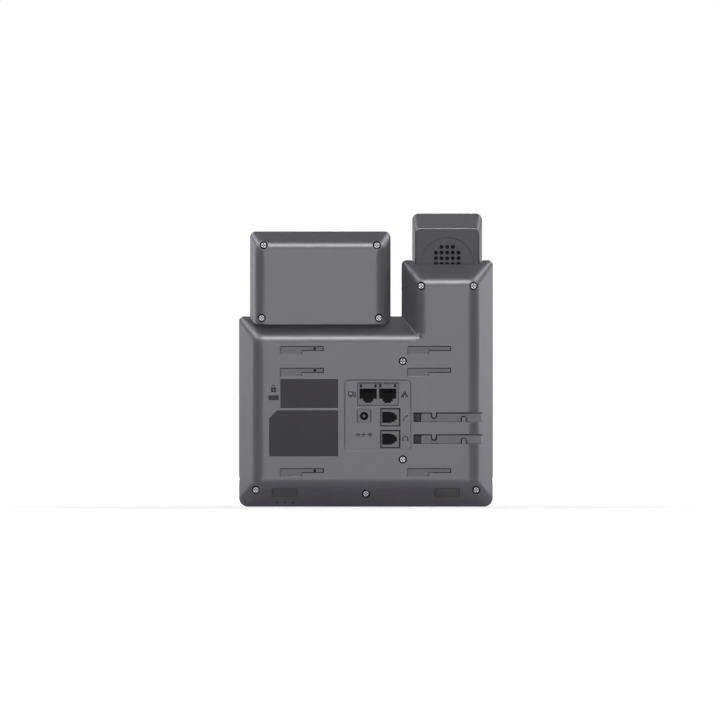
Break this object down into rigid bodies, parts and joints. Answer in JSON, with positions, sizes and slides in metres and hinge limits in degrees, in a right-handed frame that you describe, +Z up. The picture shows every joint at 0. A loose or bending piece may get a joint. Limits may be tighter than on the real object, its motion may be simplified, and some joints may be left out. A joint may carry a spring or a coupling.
{
  "type": "desk ip phone",
  "caption": "Upright desk network phone with a keypad, hinged display, corded-type handset in a side cradle, and rear ports, stand slots and cord channels.",
  "frame": {"origin": "centre of the box of the whole phone, at the lower edge that it stands on", "axes": "+Z up, keypad faces -Y, connectors face +Y, handset on the -X side"},
  "size_m": [0.183, 0.053, 0.2115],
  "materials": {
    "housing_plastic": "fine moulded texture, dark grey",
    "key_plastic": "satin, near black",
    "jack_plastic": "plain moulded, grey",
    "black_plastic": "plain moulded, black",
    "circuit_board": "green solder mask",
    "steel": "bright zinc",
    "silicone": "soft satin",
    "foot_rubber": "matte",
    "label_film": "matte film",
    "capsule_metal": "satin",
    "window": "glossy, smoked",
    "screen": "glossy, switched off",
    "lamp": "translucent red"
  },
  "bodies": {
    "base": {"rear_housing": "housing_plastic", "front_housing": "housing_plastic", "main_board": "circuit_board", "keypad_board": "circuit_board", "key_mat": "silicone", "network_jacks": "jack_plastic", "modular_jacks": "jack_plastic", "power_jack": "black_plastic", "housing_screws": "steel", "board_screws": "steel", "loudspeaker": "capsule_metal", "handsfree_microphone": "capsule_metal", "rubber_feet": "foot_rubber", "blank_labels": "label_film", "hinge_pins": "steel"},
    "display": {"display_bezel": "housing_plastic", "display_rear_cover": "housing_plastic", "display_lens": "window", "lcd_panel": "screen", "display_board": "circuit_board", "display_screws": "steel", "message_lamp": "lamp"},
    "handset": {"handset_outer_shell": "housing_plastic", "handset_inner_shell": "housing_plastic", "receiver_capsule": "capsule_metal", "handset_microphone": "capsule_metal", "handset_weight": "steel"},
    "key_1": {"key_1": "key_plastic"},
    "key_2": {"key_2": "key_plastic"},
    "key_3": {"key_3": "key_plastic"},
    "key_4": {"key_4": "key_plastic"},
    "key_5": {"key_5": "key_plastic"},
    "key_6": {"key_6": "key_plastic"},
    "key_7": {"key_7": "key_plastic"},
    "key_8": {"key_8": "key_plastic"},
    "key_9": {"key_9": "key_plastic"},
    "key_star": {"key_star": "key_plastic"},
    "key_0": {"key_0": "key_plastic"},
    "key_hash": {"key_hash": "key_plastic"},
    "headset_key": {"headset_key": "key_plastic"},
    "mute_key": {"mute_key": "key_plastic"},
    "hold_key": {"hold_key": "key_plastic"},
    "transfer_key": {"transfer_key": "key_plastic"},
    "speaker_key": {"speaker_key": "key_plastic"},
    "nav_up": {"nav_up": "key_plastic"},
    "nav_down": {"nav_down": "key_plastic"},
    "nav_left": {"nav_left": "key_plastic"},
    "nav_right": {"nav_right": "key_plastic"},
    "ok_key": {"ok_key": "key_plastic"},
    "line_key_1": {"line_key_1": "key_plastic"},
    "line_key_2": {"line_key_2": "key_plastic"},
    "line_key_3": {"line_key_3": "key_plastic"},
    "line_key_4": {"line_key_4": "key_plastic"},
    "soft_key_1": {"soft_key_1": "key_plastic"},
    "soft_key_2": {"soft_key_2": "key_plastic"},
    "soft_key_3": {"soft_key_3": "key_plastic"},
    "soft_key_4": {"soft_key_4": "key_plastic"},
    "volume_rocker": {"volume_rocker": "key_plastic"},
    "hook_plunger": {"hook_plunger": "key_plastic"},
    "hook_tab": {"hook_tab": "housing_plastic"}
  },
  "joints": [
    {"name": "handset_lift", "type": "slide", "parent": "base", "child": "handset", "axis": [0, -1, 0], "range_m": [0, 0.1]},
    {"name": "hook_plunger_travel", "type": "slide", "parent": "base", "child": "hook_plunger", "axis": [0, -1, 0], "range_m": [0, 0.003]},
    {"name": "display_tilt", "type": "hinge", "parent": "base", "child": "display", "pos_m": [0.0329, 0.0055, 0.1407], "axis": [1, 0, 0], "range_deg": [0, 45]},
    {"name": "hook_tab_slide", "type": "slide", "parent": "base", "child": "hook_tab", "axis": [0, -1, 0], "range_m": [0, 0.008]},
    {"name": "volume_rock", "type": "hinge", "parent": "base", "child": "volume_rocker", "pos_m": [0.0194, -0.0007, 0.02], "axis": [0, 0, 1], "range_deg": [-3, 3], "stiffness_Nm_per_rad": 0.06},
    {"name": "key_1_press", "type": "slide", "parent": "base", "child": "key_1", "axis": [0, 1, 0], "range_m": [0, 0.0012], "stiffness_N_per_m": 200},
    {"name": "key_2_press", "type": "slide", "parent": "base", "child": "key_2", "axis": [0, 1, 0], "range_m": [0, 0.0012], "stiffness_N_per_m": 200},
    {"name": "key_3_press", "type": "slide", "parent": "base", "child": "key_3", "axis": [0, 1, 0], "range_m": [0, 0.0012], "stiffness_N_per_m": 200},
    {"name": "key_4_press", "type": "slide", "parent": "base", "child": "key_4", "axis": [0, 1, 0], "range_m": [0, 0.0012], "stiffness_N_per_m": 200},
    {"name": "key_5_press", "type": "slide", "parent": "base", "child": "key_5", "axis": [0, 1, 0], "range_m": [0, 0.0012], "stiffness_N_per_m": 200},
    {"name": "key_6_press", "type": "slide", "parent": "base", "child": "key_6", "axis": [0, 1, 0], "range_m": [0, 0.0012], "stiffness_N_per_m": 200},
    {"name": "key_7_press", "type": "slide", "parent": "base", "child": "key_7", "axis": [0, 1, 0], "range_m": [0, 0.0012], "stiffness_N_per_m": 200},
    {"name": "key_8_press", "type": "slide", "parent": "base", "child": "key_8", "axis": [0, 1, 0], "range_m": [0, 0.0012], "stiffness_N_per_m": 200},
    {"name": "key_9_press", "type": "slide", "parent": "base", "child": "key_9", "axis": [0, 1, 0], "range_m": [0, 0.0012], "stiffness_N_per_m": 200},
    {"name": "key_star_press", "type": "slide", "parent": "base", "child": "key_star", "axis": [0, 1, 0], "range_m": [0, 0.0012], "stiffness_N_per_m": 200},
    {"name": "key_0_press", "type": "slide", "parent": "base", "child": "key_0", "axis": [0, 1, 0], "range_m": [0, 0.0012], "stiffness_N_per_m": 200},
    {"name": "key_hash_press", "type": "slide", "parent": "base", "child": "key_hash", "axis": [0, 1, 0], "range_m": [0, 0.0012], "stiffness_N_per_m": 200},
    {"name": "headset_key_press", "type": "slide", "parent": "base", "child": "headset_key", "axis": [0, 1, 0], "range_m": [0, 0.0012], "stiffness_N_per_m": 200},
    {"name": "mute_key_press", "type": "slide", "parent": "base", "child": "mute_key", "axis": [0, 1, 0], "range_m": [0, 0.0012], "stiffness_N_per_m": 200},
    {"name": "hold_key_press", "type": "slide", "parent": "base", "child": "hold_key", "axis": [0, 1, 0], "range_m": [0, 0.0012], "stiffness_N_per_m": 200},
    {"name": "transfer_key_press", "type": "slide", "parent": "base", "child": "transfer_key", "axis": [0, 1, 0], "range_m": [0, 0.0012], "stiffness_N_per_m": 200},
    {"name": "speaker_key_press", "type": "slide", "parent": "base", "child": "speaker_key", "axis": [0, 1, 0], "range_m": [0, 0.0012], "stiffness_N_per_m": 200},
    {"name": "nav_up_press", "type": "slide", "parent": "base", "child": "nav_up", "axis": [0, 1, 0], "range_m": [0, 0.0012], "stiffness_N_per_m": 200},
    {"name": "nav_down_press", "type": "slide", "parent": "base", "child": "nav_down", "axis": [0, 1, 0], "range_m": [0, 0.0012], "stiffness_N_per_m": 200},
    {"name": "nav_left_press", "type": "slide", "parent": "base", "child": "nav_left", "axis": [0, 1, 0], "range_m": [0, 0.0012], "stiffness_N_per_m": 200},
    {"name": "nav_right_press", "type": "slide", "parent": "base", "child": "nav_right", "axis": [0, 1, 0], "range_m": [0, 0.0012], "stiffness_N_per_m": 200},
    {"name": "ok_key_press", "type": "slide", "parent": "base", "child": "ok_key", "axis": [0, 1, 0], "range_m": [0, 0.0012], "stiffness_N_per_m": 200},
    {"name": "line_key_1_press", "type": "slide", "parent": "display", "child": "line_key_1", "axis": [0, 1, 0], "range_m": [0, 0.0012], "stiffness_N_per_m": 200},
    {"name": "line_key_2_press", "type": "slide", "parent": "display", "child": "line_key_2", "axis": [0, 1, 0], "range_m": [0, 0.0012], "stiffness_N_per_m": 200},
    {"name": "line_key_3_press", "type": "slide", "parent": "display", "child": "line_key_3", "axis": [0, 1, 0], "range_m": [0, 0.0012], "stiffness_N_per_m": 200},
    {"name": "line_key_4_press", "type": "slide", "parent": "display", "child": "line_key_4", "axis": [0, 1, 0], "range_m": [0, 0.0012], "stiffness_N_per_m": 200},
    {"name": "soft_key_1_press", "type": "slide", "parent": "display", "child": "soft_key_1", "axis": [0, 1, 0], "range_m": [0, 0.0012], "stiffness_N_per_m": 200},
    {"name": "soft_key_2_press", "type": "slide", "parent": "display", "child": "soft_key_2", "axis": [0, 1, 0], "range_m": [0, 0.0012], "stiffness_N_per_m": 200},
    {"name": "soft_key_3_press", "type": "slide", "parent": "display", "child": "soft_key_3", "axis": [0, 1, 0], "range_m": [0, 0.0012], "stiffness_N_per_m": 200},
    {"name": "soft_key_4_press", "type": "slide", "parent": "display", "child": "soft_key_4", "axis": [0, 1, 0], "range_m": [0, 0.0012], "stiffness_N_per_m": 200}
  ],
  "couplings": [
    {"joint": "hook_plunger_travel", "follows": "handset_lift", "ratio": 0.03}
  ]
}
